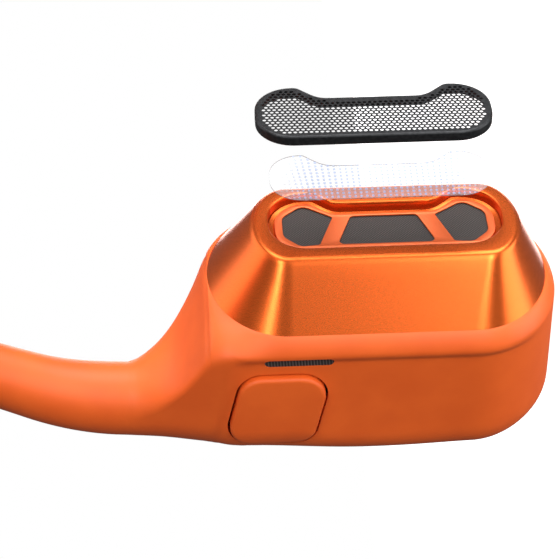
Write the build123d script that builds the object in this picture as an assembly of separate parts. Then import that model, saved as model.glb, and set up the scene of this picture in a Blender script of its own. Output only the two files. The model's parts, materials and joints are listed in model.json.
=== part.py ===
from build123d import *
import os
from math import atan2, cos, radians, sin, tan

# Bone conduction headset: two pods, two ear hooks, two control housings behind the ears and one rear band.
# Worn upright: +Z up, +Y to the rear, +X to the wearer's left. Millimetres.
#
# A pod is drawn in its own frame: u along the pod towards its free end, v across it towards the cheek,
# w out of the perforated face. The frame's origin is the centre of the cap's top rim.

# ---- driving dimensions -------------------------------------------------------------------------

# where things lie
pod_spread = 38.0            # pod centre to the middle plane
pod_tilt = 85.0              # the pod's long axis above the horizontal
side_plane = 41.5            # plane of each ear hook, and radius of the rear band

# cap: a truncated pyramid with round ends
cap_length, cap_width, cap_end = 23.2, 10.35, 3.05
base_length, base_width, base_end = 29.9, 17.7, 6.95
cap_height = 5.4
base_shift = -0.7
cap_wall = 0.9
deck = 2.0                   # thickness of the cap's flat top
lip_depth = 0.8              # locating lip that drops into the chassis

# recess for the grille, with a notch on the cheek side
recess_length, recess_width, recess_corner = 20.4, 7.85, 3.4
notch_depth, notch_inner, notch_outer = 1.65, 4.4, 6.2
notch_outer_radius, notch_inner_radius, smallest_radius = 1.0, 1.8, 0.15
recess_depth = 1.0
grille_gap = 0.22            # recess wall to grille
grille_thickness, grille_wall, grille_skirt = 0.3, 0.3, 0.9
plate_gap = 0.1              # grille skirt to baffle plate
plate_top, plate_thickness = -0.75, 0.25
membrane_gap = 0.18          # grille skirt to membrane
membrane_thickness, membrane_seat = 0.1, -0.6
grille_lift, membrane_lift = 11.4, 5.1
lift_lean = 0.115            # sideways drift of the lifted pieces towards the hook, per unit of rise

# windows in the baffle plate and the woven mesh under them
window_front, window_rear, window_depth, window_centre = 8.4, 5.4, 3.65, -0.4
side_window = [(-4.85, 1.3), (-7.3, 2.95), (-9.0, 0.75), (-6.85, -2.3), (-6.1, -2.0)]
side_window_radii = [0.35, 1.1, 1.3, 0.35, 0.35]
window_corner = 0.45
mesh_thickness, mesh_border, mesh_slack = 0.12, 1.0, 0.02

# soft lower sleeve and the rigid chassis inside it
sleeve_length, sleeve_width, sleeve_end, sleeve_hook_end = 31.8, 19.7, 7.9, 4.1
sleeve_wall = 1.0
ridge_drop = 1.5             # from the cap line down to the widest rim
sleeve_bottom, bottom_radius = -19.8, 4.0
sleeve_lip = 0.2             # sleeve edge beyond the cap at the cap line
chassis_wall = 0.9

# neck, ear hook and its core
neck_v, neck_radius, hook_radius = -3.5, 3.05, 2.8
neck_start, neck_flare, flare_radius, flare_rise = -13.0, -22.0, 4.4, 1.5
rise_radius, rise_turn, rise_length = 22.0, 25.0, 12.0
ear_radius = 20.0
housing_slope = 50.0
wire_radius, cable_radius, cable_offset = 0.5, 0.4, 1.15
anchor_depth, anchor_length, anchor_width, anchor_rise, anchor_offset = 3.0, 3.0, 5.0, 1.8, 0.5

# air speaker under the deck
basket_length, basket_width, basket_end, basket_depth = 16.0, 7.6, 3.0, 3.4
basket_wall, basket_floor = 0.8, 0.8
cone_gap, cone_drop, cone_thickness = 0.6, 0.9, 0.2
speaker_coil_radius, speaker_coil_wall, speaker_coil_depth = 1.7, 0.3, 0.9
speaker_magnet_radius, speaker_magnet_height = 1.1, 0.9

# bone transducer, its axis across the pod
drive_u, drive_w = 2.2, -11.4
yoke_radius, yoke_wall, yoke_floor, yoke_back, yoke_depth = 5.3, 1.1, 1.2, -1.2, 7.1
drive_magnet_radius, drive_magnet_height = 2.4, 5.0
coil_radius, coil_wall, coil_clearance = 3.6, 0.85, 1.6
spring_thickness, spring_gap = 0.25, 0.05
pad_length, pad_height, pad_radius = 15.2, 7.0, 3.3
pad_gap, pad_proud, pad_thickness = 0.4, 0.35, 1.9
pad_edge = 0.8
plate_margin, drive_plate_thickness = 0.35, 1.0
cradle_length, cradle_width, cradle_drop = 7.0, 3.0, 3.6

# press button, switch, small board and microphone
button_u, button_w, button_length, button_height, button_shear = -9.5, -13.2, 7.7, 7.4, 1.6
button_corner, button_proud, button_gap, button_back, button_edge = 2.2, 0.6, 0.3, 0.6, 0.5
button_travel, switch_slack = 0.3, 0.05
stem_radius, stem_gap = 1.2, 0.3
switch_side, switch_height = 3.0, 1.2
board_u, board_length, board_height, board_thickness, board_front = -8.2, 7.4, 6.4, 0.8, -6.0
boss_radius, boss_spread, boss_rise = 0.7, 2.7, 2.4
slot_u, slot_w, slot_length, slot_height = -7.5, -7.8, 6.0, 0.9
mic_length, mic_height, mic_depth, mic_gasket = 3.8, 1.6, 1.1, 0.15
mic_port_length, mic_port_reach = 3.0, 0.5

# control housings
housing_length, housing_height, housing_thick, housing_corner, housing_edge = 34.0, 13.0, 11.0, 6.0, 3.2
housing_wall = 1.2
battery_length, battery_height, battery_edge = 22.0, 9.0, 1.0
main_board_thickness, main_board_gap, main_board_corner = 0.8, 0.3, 2.0
pillar_radius, pillar_spread = 1.3, 9.2
screw_radius, screw_length, screw_head, screw_head_height = 0.5, 2.0, 0.95, 0.6
volume_length, volume_height, volume_spacing, volume_proud = 6.4, 4.6, 8.0, 0.5
volume_corner, volume_edge, volume_stem, volume_slack = 1.6, 0.4, 0.9, 0.05
volume_switch_side, volume_switch_height = 3.0, 1.4
volume_gap, volume_travel, volume_flange, flange_thickness = 0.25, 0.35, 0.6, 0.6
contact_radius, contact_spacing, contact_depth, contact_proud = 0.9, 4.4, 0.5, 0.2
contact_hole_reach, contact_gap = 0.5, 0.1
dock_length, dock_height = 12.0, 4.6
dock_magnet_length, dock_magnet_height, dock_magnet_thick = 9.0, 2.6, 1.4
light_radius, light_along, light_gap, light_sink = 0.6, -12.4, 0.3, 0.02

# rear band
band_radius = 1.9
band_bend, band_tilt = 14.0, 32.0
flex_half = 12.0
plug_depth = 2.4             # how far a tube runs into a housing

# ---- places worked out from them ------------------------------------------------------------------

c_tilt, s_tilt = cos(radians(pod_tilt)), sin(radians(pod_tilt))
sleeve_right = base_shift + sleeve_length / 2
ridge_w = -cap_height - ridge_drop
pod_low = -sleeve_right * s_tilt - ridge_w * c_tilt
pod_high_y = -sleeve_right * c_tilt + sleeve_bottom * s_tilt
neck_w = sleeve_bottom + neck_radius
chassis_bottom = sleeve_bottom + sleeve_wall
front_v = -sleeve_width / 2
cheek_v = sleeve_width / 2


def sagittal(u, w):
    """Pod coordinates to (Y, Z) about the pod's own origin."""
    return (-u * c_tilt + w * s_tilt, -u * s_tilt - w * c_tilt)


def turn(point, heading, radius, size):
    """End of an arc that leaves point at a heading, turning left by size degrees."""
    side = 1 if size > 0 else -1
    end = heading + size
    return (
        point[0] + side * radius * (sin(radians(end)) - sin(radians(heading))),
        point[1] - side * radius * (cos(radians(end)) - cos(radians(heading))),
    )


hook_start = sagittal(neck_flare, neck_w)
rise_end = turn(hook_start, pod_tilt, rise_radius, -rise_turn)
ear_heading = pod_tilt - rise_turn
ear_start = (
    rise_end[0] + rise_length * cos(radians(ear_heading)), rise_end[1] + rise_length * sin(radians(ear_heading))
)
ear_turn = ear_heading + housing_slope
housing_top = turn(ear_start, ear_heading, ear_radius, -ear_turn)
slope_c, slope_s = cos(radians(housing_slope)), sin(radians(housing_slope))


def down_housing(length):
    """Sagittal point that far down the control housing from the end of the ear arc."""
    return (housing_top[0] + length * slope_c, housing_top[1] - length * slope_s)


housing_middle, housing_end = down_housing(housing_length / 2), down_housing(housing_length)
bend_end = turn(housing_end, -housing_slope, band_bend, housing_slope - band_tilt)
tilt_c, tilt_s = cos(radians(band_tilt)), sin(radians(band_tilt))
band_drop = bend_end[1] - pod_low - band_radius * tilt_c
band_straight = band_drop / tilt_s - side_plane
band_back = bend_end[0] + (band_straight + side_plane) * tilt_c

# the row's origin: middle of the floor footprint
pod_y = -(pod_high_y + band_back + band_radius) / 2
pod_z = -pod_low


def at(point):
    """Sagittal point about the pod to (Y, Z) of the headset."""
    return (point[0] + pod_y, point[1] + pod_z)


# ---- shared shapes --------------------------------------------------------------------------------

def stadium(length, width, end, shift=0.0, hook_end=None):
    """Outline with two straight sides and two half-ellipse ends; the one at the hook may be blunter."""
    blunt = end if hook_end is None else hook_end
    near, far = blunt - length / 2, length / 2 - end
    lines = [
        Line((near, -width / 2), (far, -width / 2)),
        EllipticalCenterArc((far, 0), end, width / 2, start_angle=-90, arc_size=180),
        Line((far, width / 2), (near, width / 2)),
        EllipticalCenterArc((near, 0), blunt, width / 2, start_angle=90, arc_size=180),
    ]
    return Pos(shift, 0, 0) * make_face(Curve() + lines)


def block(face, low, high):
    """A flat face raised from one height to another."""
    return extrude(Pos(0, 0, low) * face, high - low)


def slope(face_low, low, face_high, high):
    """A straight taper between two outlines."""
    return loft([Pos(0, 0, low) * face_low, Pos(0, 0, high) * face_high], ruled=True)


def rounded(points, radii):
    """Polygon with its own radius at each corner."""
    face = make_face(Polyline(*points, close=True))
    for (x, y), radius in zip(points, radii):
        corner = [v for v in face.vertices() if abs(v.X - x) + abs(v.Y - y) < 1e-5]
        face = fillet(corner, radius)
    return face


def notched(inset=0.0):
    """The recess outline, drawn in by an inset: long sides, round ends and a notch on the cheek side."""
    x, y = recess_length / 2 - inset, recess_width / 2 - inset
    half_turn = tan(atan2(notch_depth, notch_outer - notch_inner) / 2)
    shift = inset * half_turn
    inner, outer, floor = notch_inner + shift, notch_outer + shift, y - notch_depth
    points = [(-x, -y), (x, -y), (x, y), (outer, y), (inner, floor), (-inner, floor), (-outer, y), (-x, y)]
    lobe = max(notch_outer_radius - inset, smallest_radius)
    corner = min(recess_corner - inset, x - outer - lobe * half_turn - smallest_radius)
    dip = notch_inner_radius + inset
    return rounded(points, [corner, corner, corner, lobe, dip, dip, lobe, corner])


def drum(radius, low, high):
    """Cylinder about the w axis."""
    return block(Circle(radius), low, high)


def facing(u, w):
    """Frame on the pod's middle plane: x along u, y along w turned down, z towards the cheek."""
    return Plane(origin=(u, 0, w), x_dir=(1, 0, 0), z_dir=(0, 1, 0))


# ---- pod -------------------------------------------------------------------------------------------

plate_inset = grille_gap + grille_wall + plate_gap


def make_cap():
    """Satin cap with its recess, the sound opening and a locating lip."""
    outer = slope(
        stadium(base_length, base_width, base_end, base_shift), -cap_height,
        stadium(cap_length, cap_width, cap_end), 0,
    )
    t = cap_wall
    share = deck / cap_height
    inner_length = cap_length + (base_length - cap_length) * share - 2 * t
    inner_width = cap_width + (base_width - cap_width) * share - 2 * t
    inner_end = cap_end + (base_end - cap_end) * share - t
    inner = slope(
        stadium(base_length - 2 * t, base_width - 2 * t, base_end - t, base_shift), -cap_height,
        stadium(inner_length, inner_width, inner_end, base_shift * share), -deck,
    )
    lip_outer, lip_inner = (
        stadium(chassis_length - 2 * depth, chassis_width - 2 * depth, chassis_end - depth, base_shift)
        for depth in (chassis_wall, 2 * chassis_wall)
    )
    lip = block(lip_outer - lip_inner, -cap_height - lip_depth, -cap_height + lip_depth)
    opening = notched(plate_inset + mesh_border)
    return outer - inner + lip - block(notched(), -recess_depth, 1) - block(opening, -deck - 1, 0)


def window_faces():
    """Middle trapezoid and two side windows."""
    front, rear = window_front / 2, window_rear / 2
    low, high = window_centre - window_depth / 2, window_centre + window_depth / 2
    middle = rounded([(-front, low), (front, low), (rear, high), (-rear, high)], [window_corner] * 4)
    side = rounded(side_window, side_window_radii)
    return [middle, side, mirror(side, about=Plane.YZ)]


def make_baffle():
    plate = block(notched(plate_inset), plate_top - plate_thickness, plate_top)
    for window in window_faces():
        plate -= block(window, -deck, 0)
    return plate


def make_mesh():
    high = plate_top - plate_thickness
    return block(notched(plate_inset + mesh_border + mesh_slack), high - mesh_thickness, high)


def make_grille():
    inner = notched(grille_gap + grille_wall)
    return block(notched(grille_gap), -grille_skirt, 0) - block(inner, -grille_skirt - 1, -grille_thickness)


def make_membrane():
    outline = notched(grille_gap + grille_wall + membrane_gap)
    return block(outline, membrane_seat, membrane_seat + membrane_thickness)


def make_speaker():
    """Oblong air driver: basket, magnet and moving cone with its coil."""
    low = -deck - basket_depth
    inner = (basket_length - 2 * basket_wall, basket_width - 2 * basket_wall, basket_end - basket_wall)
    basket = block(stadium(basket_length, basket_width, basket_end), low, -deck)
    basket -= block(stadium(*inner), low + basket_floor, 0)
    magnet_low = low + basket_floor
    magnet = drum(speaker_magnet_radius, magnet_low, magnet_low + speaker_magnet_height)
    high = -deck - cone_drop
    cone_face = stadium(inner[0] - 2 * cone_gap, inner[1] - 2 * cone_gap, inner[2] - cone_gap)
    cone = block(cone_face, high - cone_thickness, high)
    ring = Circle(speaker_coil_radius) - Circle(speaker_coil_radius - speaker_coil_wall)
    cone += block(ring, high - cone_thickness - speaker_coil_depth, high - cone_thickness)
    return basket, magnet, cone


def pad_face(margin):
    return RectangleRounded(pad_length + 2 * margin, pad_height + 2 * margin, pad_radius + margin)


def across(face, low, high, u=drive_u, w=drive_w):
    """A face drawn on the pod's side, raised between two v values."""
    return facing(u, w).location * extrude(Pos(0, 0, low) * face, high - low)


def button_face(margin):
    """Rounded parallelogram, its lower edge towards the hook."""
    x, y, k = button_length / 2 + margin, button_height / 2 + margin, button_shear / 2
    # the facing plane's y axis points down the pod
    points = [(-x - k, y), (x - k, y), (x + k, -y), (-x + k, -y)]
    return rounded(points, [button_corner + margin] * 4)


chassis_length = sleeve_length - 2 * sleeve_wall
chassis_width = sleeve_width - 2 * sleeve_wall
chassis_end = sleeve_end - sleeve_wall
wall_inner_v = chassis_width / 2 - chassis_wall
switch_v = board_front - switch_height
mic_front = -wall_inner_v + mic_gasket
pad_back = cheek_v + pad_proud - pad_thickness
button_back_v = front_v + button_back


def tub(length, width, end, bottom, radius, top, hook_end=None):
    """Closed tub with upright sides and a rounded floor edge."""
    body = block(stadium(length, width, end, base_shift, hook_end), bottom, top)
    return fillet(body.faces().sort_by(Axis.Z)[0].edges(), radius)


def make_sleeve(has_button, neck_holes):
    """Silicone boat with its shoulder rim, side openings and the neck towards the ear hook."""
    top = -cap_height
    lip = 2 * sleeve_lip
    body = tub(
        sleeve_length, sleeve_width, sleeve_end, sleeve_bottom, bottom_radius, ridge_w, sleeve_hook_end
    )
    shoulder = slope(
        stadium(sleeve_length, sleeve_width, sleeve_end, base_shift, sleeve_hook_end), ridge_w,
        stadium(base_length + lip, base_width + lip, base_end + sleeve_lip, base_shift), top,
    )
    flare = loft([
        Plane(origin=(neck_start, neck_v, neck_w + flare_rise), z_dir=(-1, 0, 0)) * Circle(flare_radius),
        Plane(origin=(neck_flare, neck_v, neck_w), z_dir=(-1, 0, 0)) * Circle(hook_radius),
    ])
    body = body + shoulder + flare
    body -= make_chassis_outer(top + 1)
    body -= across(pad_face(pad_gap), 0, cheek_v + 1)
    body -= across(SlotOverall(slot_length, slot_height), front_v - 1, 0, slot_u, slot_w)
    if has_button:
        body -= across(button_face(button_gap), front_v - 1, 0, button_u, button_w)
    return body - neck_holes


def make_chassis_outer(top):
    return tub(chassis_length, chassis_width, chassis_end, chassis_bottom, bottom_radius - sleeve_wall, top)


def make_chassis(has_button, neck_holes):
    """Rigid tub with a cradle for the transducer, an anchor for the hook wire and bosses for the board."""
    t = chassis_wall
    outer = make_chassis_outer(-cap_height)
    cavity = tub(
        chassis_length - 2 * t, chassis_width - 2 * t, chassis_end - t,
        chassis_bottom + t, bottom_radius - sleeve_wall - t, 0,
    )
    floor = chassis_bottom + t / 2
    cradle_face = Rectangle(cradle_length, cradle_width)
    cradle = Pos(drive_u, yoke_back + cradle_width, 0) * block(cradle_face, floor, drive_w - cradle_drop)
    cradle -= across(Circle(yoke_radius), yoke_back - 1, yoke_back + yoke_depth)
    anchor_face = Rectangle(anchor_length, anchor_width)
    anchor = Pos(neck_start - anchor_offset, neck_v, 0) * block(anchor_face, floor, neck_w + anchor_rise)
    body = outer - cavity + (cradle & outer) + (anchor & outer)
    if has_button:
        for side in (-1, 1):
            u, w = board_u + side * boss_spread, button_w + boss_rise
            body += outer & across(Circle(boss_radius), -wall_inner_v - t / 2, board_front, u, w)
        body -= across(Circle(stem_radius + stem_gap), front_v, board_front - 1, button_u, button_w)
    port = SlotOverall(mic_port_length, slot_height)
    body -= across(port, front_v, -wall_inner_v + mic_port_reach, slot_u, slot_w)
    body -= across(pad_face(pad_gap), 0, cheek_v)
    return body - neck_holes


def make_transducer():
    """Yoke, magnet, suspension, and the moving coil, plate and skin pad."""
    floor_v = yoke_back + yoke_floor
    rim_v = yoke_back + yoke_depth
    yoke = across(Circle(yoke_radius), yoke_back, rim_v)
    yoke -= across(Circle(yoke_radius - yoke_wall), floor_v, rim_v + 1)
    magnet = across(Circle(drive_magnet_radius), floor_v, floor_v + drive_magnet_height)
    spring = across(
        Circle(yoke_radius) - Circle(coil_radius + spring_gap), rim_v, rim_v + spring_thickness
    )
    plate_back = pad_back - drive_plate_thickness
    coil = across(Circle(coil_radius) - Circle(coil_radius - coil_wall), floor_v + coil_clearance, plate_back)
    plate = across(pad_face(-plate_margin), plate_back, pad_back)
    pad = across(pad_face(0), pad_back, cheek_v + pad_proud)
    pad = fillet(pad.faces().sort_by(Axis.Y)[-1].edges(), pad_edge)
    return {
        "transducer_yoke": yoke, "transducer_magnet": magnet, "spring_plate": spring,
        "voice_coil": coil, "vibration_plate": plate, "skin_pad": pad,
    }


def make_button():
    """Silicone-faced button with a rigid stem."""
    face_v = front_v - button_proud
    key = across(button_face(0), face_v, button_back_v, button_u, button_w)
    key = fillet(key.faces().sort_by(Axis.Y)[0].edges(), button_edge)
    stem_end = switch_v - button_travel - switch_slack
    return key + across(Circle(stem_radius), button_back_v - 0.1, stem_end, button_u, button_w)


def make_pod(has_button, lifted, neck_holes):
    """Every piece of one pod, in the pod's frame."""
    basket, magnet, cone = make_speaker()
    rise, float_up = (grille_lift, membrane_lift) if lifted else (0, 0)
    grille_place, membrane_place = Pos(-rise * lift_lean, 0, rise), Pos(-float_up * lift_lean, 0, float_up)
    pieces = {
        "pod_sleeve": make_sleeve(has_button, neck_holes),
        "pod_chassis": make_chassis(has_button, neck_holes),
        "speaker_cap": make_cap(),
        "baffle_plate": make_baffle(),
        "acoustic_mesh": make_mesh(),
        "membrane": membrane_place * make_membrane(),
        "grille": grille_place * make_grille(),
        "speaker_basket": basket, "speaker_magnet": magnet, "speaker_cone": cone,
        "microphone": across(
            Rectangle(mic_length, mic_height), mic_front, mic_front + mic_depth, slot_u, slot_w
        ),
    }
    pieces.update(make_transducer())
    if has_button:
        pieces["call_button"] = make_button()
        switch = across(Rectangle(switch_side, switch_side), switch_v, board_front, button_u, button_w)
        pieces["call_switch_board"] = switch + across(
            Rectangle(board_length, board_height), board_front, board_front + board_thickness, board_u, button_w
        )
    return pieces


# ---- hook and band ---------------------------------------------------------------------------------

def side_frame(x):
    """Sagittal drawing plane at a given X: drawing x is Y, drawing y is Z."""
    return Plane(origin=(x, 0, 0), x_dir=(0, 1, 0), z_dir=(1, 0, 0))


def heading(degrees):
    return (cos(radians(degrees)), sin(radians(degrees)))


def hook_path():
    """Left hook: out of the pod's neck, over the ear and into the control housing."""
    back = (-c_tilt, -s_tilt)
    reach = neck_start - neck_flare + anchor_depth / 2
    start, bend, ear = at(hook_start), at(rise_end), at(ear_start)
    inner = (start[0] + back[0] * reach, start[1] + back[1] * reach)
    top = at(housing_top)
    plug = (top[0] + plug_depth * slope_c, top[1] - plug_depth * slope_s)
    lines = [
        Line(inner, start),
        JernArc(start, heading(pod_tilt), rise_radius, -rise_turn),
        Line(bend, ear),
        JernArc(ear, heading(ear_heading), ear_radius, -ear_turn),
        Line(top, plug),
    ]
    return [side_frame(side_plane).location * line for line in lines]


def band_path():
    """From the left housing, round the back of the head, to the right housing."""
    start, bend = at(housing_end), at(bend_end)
    plug = (start[0] - plug_depth * slope_c, start[1] + plug_depth * slope_s)
    left = [Line(plug, start), JernArc(start, heading(-housing_slope), band_bend, housing_slope - band_tilt)]
    left = [side_frame(side_plane).location * line for line in left]
    right = [side_frame(-side_plane).location * line for line in (
        JernArc(bend, heading(180 - band_tilt), band_bend, band_tilt - housing_slope), Line(start, plug)
    )]
    sheet = Plane(origin=(side_plane, *bend), x_dir=(0, tilt_c, -tilt_s), z_dir=(0, tilt_s, tilt_c))
    run = [
        Line((0, 0), (band_straight, 0)),
        JernArc((band_straight, 0), (1, 0), side_plane, 180),
        Line((band_straight, 2 * side_plane), (0, 2 * side_plane)),
    ]
    return left + [sheet.location * line for line in run] + right


def swept(profile, lines):
    """Sweep a profile, drawn about the origin, along joined lines."""
    path = Wire([edge for line in lines for edge in line.edges()])
    side = Plane(origin=path @ 0, x_dir=(1, 0, 0), z_dir=path % 0)
    return sweep(side.location * profile, path)


def bores():
    return Circle(wire_radius) + Pos(cable_offset, 0, 0) * Circle(cable_radius)


def wire_and_cable(lines):
    return swept(Circle(wire_radius), lines), swept(Pos(cable_offset, 0, 0) * Circle(cable_radius), lines)


# ---- control housings ------------------------------------------------------------------------------

def housing_frame():
    """Left housing: x down its length, y across it to the lower front, z outwards."""
    middle = at(housing_middle)
    return Plane(origin=(side_plane, *middle), x_dir=(0, slope_c, -slope_s), z_dir=(1, 0, 0))


def housing_halves():
    """Inner half against the neck and outer half, both hollow, drawn about the housing's centre."""
    t = housing_wall
    edge = housing_thick / 2
    outer = block(RectangleRounded(housing_length, housing_height, housing_corner), -edge, edge)
    rims = outer.faces().sort_by(Axis.Z)
    outer = fillet(rims[0].edges() + rims[-1].edges(), housing_edge)
    half = edge - t
    inner_face = RectangleRounded(housing_length - 2 * t, housing_height - 2 * t, housing_corner - t)
    cavity = block(inner_face, -half, half)
    shell = outer - cavity
    reach = housing_length / 2 + 1
    shell -= Pos(reach / 2 + 1, 0, 0) * (Rot(0, 90, 0) * Cylinder(band_radius, reach))
    shell -= Pos(-reach / 2 - 1, 0, 0) * (Rot(0, 90, 0) * Cylinder(hook_radius, reach))
    above = Pos(0, 0, housing_thick) * Box(2 * housing_length, 2 * housing_height, 2 * housing_thick)
    return shell - above, shell & above


def volume_face(margin):
    return RectangleRounded(
        volume_length + 2 * margin, volume_height + 2 * margin, volume_corner + margin
    )


def dock_places():
    return [Pos(side * contact_spacing / 2, 0, 0) for side in (-1, 1)]


def make_housings():
    """Both control housings with what they hold, in the left housing's frame."""
    half = housing_thick / 2
    inside = half - housing_wall
    inner, outer = housing_halves()
    left = {
        "left_housing_inner": inner, "left_housing_outer": outer,
        "battery": fillet(
            block(Rectangle(battery_length, battery_height), -inside, inside).edges().filter_by(Axis.X), battery_edge
        ),
    }
    # right side: board on pillars, two volume keys, a charging dock and a status light
    board_low = -main_board_thickness
    board = block(RectangleRounded(
        housing_length - 2 * housing_wall - 2 * main_board_gap - 4 * plug_depth,
        housing_height - 2 * housing_wall - 2 * main_board_gap, main_board_corner,
    ), board_low, 0)
    screws = None
    for side in (-1, 1):
        place = Pos(side * pillar_spread, 0, 0)
        inner += place * block(Circle(pillar_radius), -half + housing_wall / 2, board_low)
        hole = place * block(Circle(screw_radius), board_low - screw_length, 0)
        inner -= hole
        board -= hole
        screw = hole + place * block(Circle(screw_head), 0, screw_head_height)
        screws = screw if screws is None else screws + screw
    switches = None
    keys = {}
    for name, side in (("volume_up", -1), ("volume_down", 1)):
        place = Pos(side * volume_spacing / 2, 0, 0)
        outer -= place * block(volume_face(volume_gap), 0, half + 1)
        flange_high = inside - volume_slack
        flange_low = flange_high - flange_thickness
        key = block(volume_face(0), flange_low, half + volume_proud)
        key = fillet(key.faces().sort_by(Axis.Z)[-1].edges(), volume_edge)
        key += block(volume_face(volume_flange), flange_low, flange_high)
        stem_low = volume_switch_height + volume_travel + volume_slack
        key += block(Circle(volume_stem), stem_low, flange_low)
        keys[name] = place * key
        switch = place * block(Rectangle(volume_switch_side, volume_switch_side), 0, volume_switch_height)
        switches = switch if switches is None else switches + switch
    light_place = Pos(light_along, 0, 0)
    outer -= light_place * block(Circle(light_radius), 0, half + 1)
    light = light_place * block(Circle(light_radius), light_gap, half - light_sink)
    dock_floor = -half + contact_depth
    dock = SlotOverall(dock_length, dock_height)
    inner -= block(dock, -half - 1, dock_floor)
    contacts = None
    for place in dock_places():
        contact = place * block(Circle(contact_radius), dock_floor - contact_proud, board_low)
        inner -= place * block(Circle(contact_radius), -half, -inside + contact_hole_reach)
        contacts = contact if contacts is None else contacts + contact
    magnet = block(Rectangle(dock_magnet_length, dock_magnet_height), -inside, -inside + dock_magnet_thick)
    for place in dock_places():
        magnet -= place * block(Circle(contact_radius + contact_gap), -half, 0)
    right = {
        "right_housing_inner": inner, "right_housing_outer": outer, "main_board": board,
        "board_screws": screws, "volume_switches": switches, "status_light": light,
        "charge_contacts": contacts, "dock_magnet": magnet,
    }
    right.update(keys)
    return left, right


# ---- assembly --------------------------------------------------------------------------------------

pod_frame = Plane(
    origin=(pod_spread, pod_y, pod_z), x_dir=(0, -c_tilt, -s_tilt), z_dir=(0, s_tilt, -c_tilt)
).location
mid_plane = Plane.YZ
parts = {}

hook_lines = hook_path()
hook_wire, hook_cable = wire_and_cable(hook_lines)
neck_holes = pod_frame.inverse() * (hook_wire + hook_cable)
hook_sleeve = swept(Circle(hook_radius) - bores(), hook_lines[1:])

for side, is_left in (("left", True), ("right", False)):
    pieces = {name: pod_frame * piece for name, piece in make_pod(is_left, is_left, neck_holes).items()}
    pieces["hook_sleeve"] = hook_sleeve
    pieces["hook_wire"] = hook_wire
    pieces["hook_cable"] = hook_cable
    for name, piece in pieces.items():
        parts[f"{side}_{name}"] = piece if is_left else mirror(piece, about=mid_plane)

housing_place = housing_frame().location
left_housing, right_housing = make_housings()
for name, piece in left_housing.items():
    parts[name] = housing_place * piece
for name, piece in right_housing.items():
    parts[name] = mirror(housing_place * piece, about=mid_plane)

band_lines = band_path()
band_wire, band_cable = wire_and_cable(band_lines)
band = swept(Circle(band_radius) - bores(), band_lines)
reach = 4 * side_plane
middle = Box(2 * flex_half, reach, reach)
for side, name in ((1, "band_left"), (-1, "band_right")):
    parts[name] = band & (Pos(side * (flex_half + reach / 2), band_back / 2, 0) * Box(reach, reach, reach))
parts["band_flex_zone"] = band & (Pos(0, band_back / 2, 0) * middle)
parts["band_wire"] = band_wire
parts["band_cable"] = band_cable

os.makedirs("parts", exist_ok=True)
for name, piece in parts.items():
    export_step(piece, f"parts/{name}.step")
print(f"floor offset {pod_z:.3f}, pod y {pod_y:.3f}, band straight {band_straight:.2f}")
print(f"housing top {at(housing_top)}, end {at(housing_end)}, band back {band_back + pod_y:.2f}")
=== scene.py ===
import json
from math import atan2, cos, pi, radians, sin, sqrt, tan

import bpy
from mathutils import Matrix, Vector


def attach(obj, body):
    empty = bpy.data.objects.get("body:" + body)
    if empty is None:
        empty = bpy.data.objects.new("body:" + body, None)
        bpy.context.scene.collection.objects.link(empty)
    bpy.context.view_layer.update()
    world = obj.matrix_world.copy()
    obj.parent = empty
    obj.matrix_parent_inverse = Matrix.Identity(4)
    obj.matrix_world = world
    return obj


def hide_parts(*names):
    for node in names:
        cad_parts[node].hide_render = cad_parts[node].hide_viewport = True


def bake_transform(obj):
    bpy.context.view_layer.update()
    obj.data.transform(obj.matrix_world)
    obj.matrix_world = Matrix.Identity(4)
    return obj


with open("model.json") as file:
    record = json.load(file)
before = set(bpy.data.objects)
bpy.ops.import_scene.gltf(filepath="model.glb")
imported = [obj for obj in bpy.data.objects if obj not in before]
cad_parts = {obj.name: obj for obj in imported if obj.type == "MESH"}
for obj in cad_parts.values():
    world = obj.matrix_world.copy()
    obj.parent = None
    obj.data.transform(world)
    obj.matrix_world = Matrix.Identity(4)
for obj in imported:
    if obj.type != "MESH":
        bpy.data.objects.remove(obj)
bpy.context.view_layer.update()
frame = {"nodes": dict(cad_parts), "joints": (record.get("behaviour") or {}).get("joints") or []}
nodes = frame["nodes"]
MM = 0.001
MERGE = 2e-6                 # metres between points that become one

# ---- the pod's own frame: u to its free end, v across to the cheek, w out of the grille ----

joints = {joint["name"]: joint for joint in frame["joints"]}
W_AXIS = Vector(joints["left_cone_drive"]["axis"]).normalized()
W_AXIS *= 1 if W_AXIS.dot(Vector(joints["grille_lift"]["axis"])) > 0 else -1
V_AXIS = Vector((-1, 0, 0))
U_AXIS = V_AXIS.cross(W_AXIS)
BASE_SHIFT = -0.7
cap_points = [vertex.co for vertex in nodes["left_speaker_cap"].data.vertices]
cap_u = [point.dot(U_AXIS) for point in cap_points]
cap_v = [point.dot(V_AXIS) for point in cap_points]
POD_ORIGIN = (
    U_AXIS * ((min(cap_u) + max(cap_u)) / 2 - BASE_SHIFT * MM)
    + V_AXIS * (min(cap_v) + max(cap_v)) / 2
    + W_AXIS * max(point.dot(W_AXIS) for point in cap_points)
)
POD = Matrix.Translation(POD_ORIGIN) @ Matrix((
    (U_AXIS.x, V_AXIS.x, W_AXIS.x, 0), (U_AXIS.y, V_AXIS.y, W_AXIS.y, 0), (U_AXIS.z, V_AXIS.z, W_AXIS.z, 0),
    (0, 0, 0, 1),
))
MIRROR = Matrix.Scale(-1, 4, (1, 0, 0))

# ---- sizes, in millimetres ----

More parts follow.
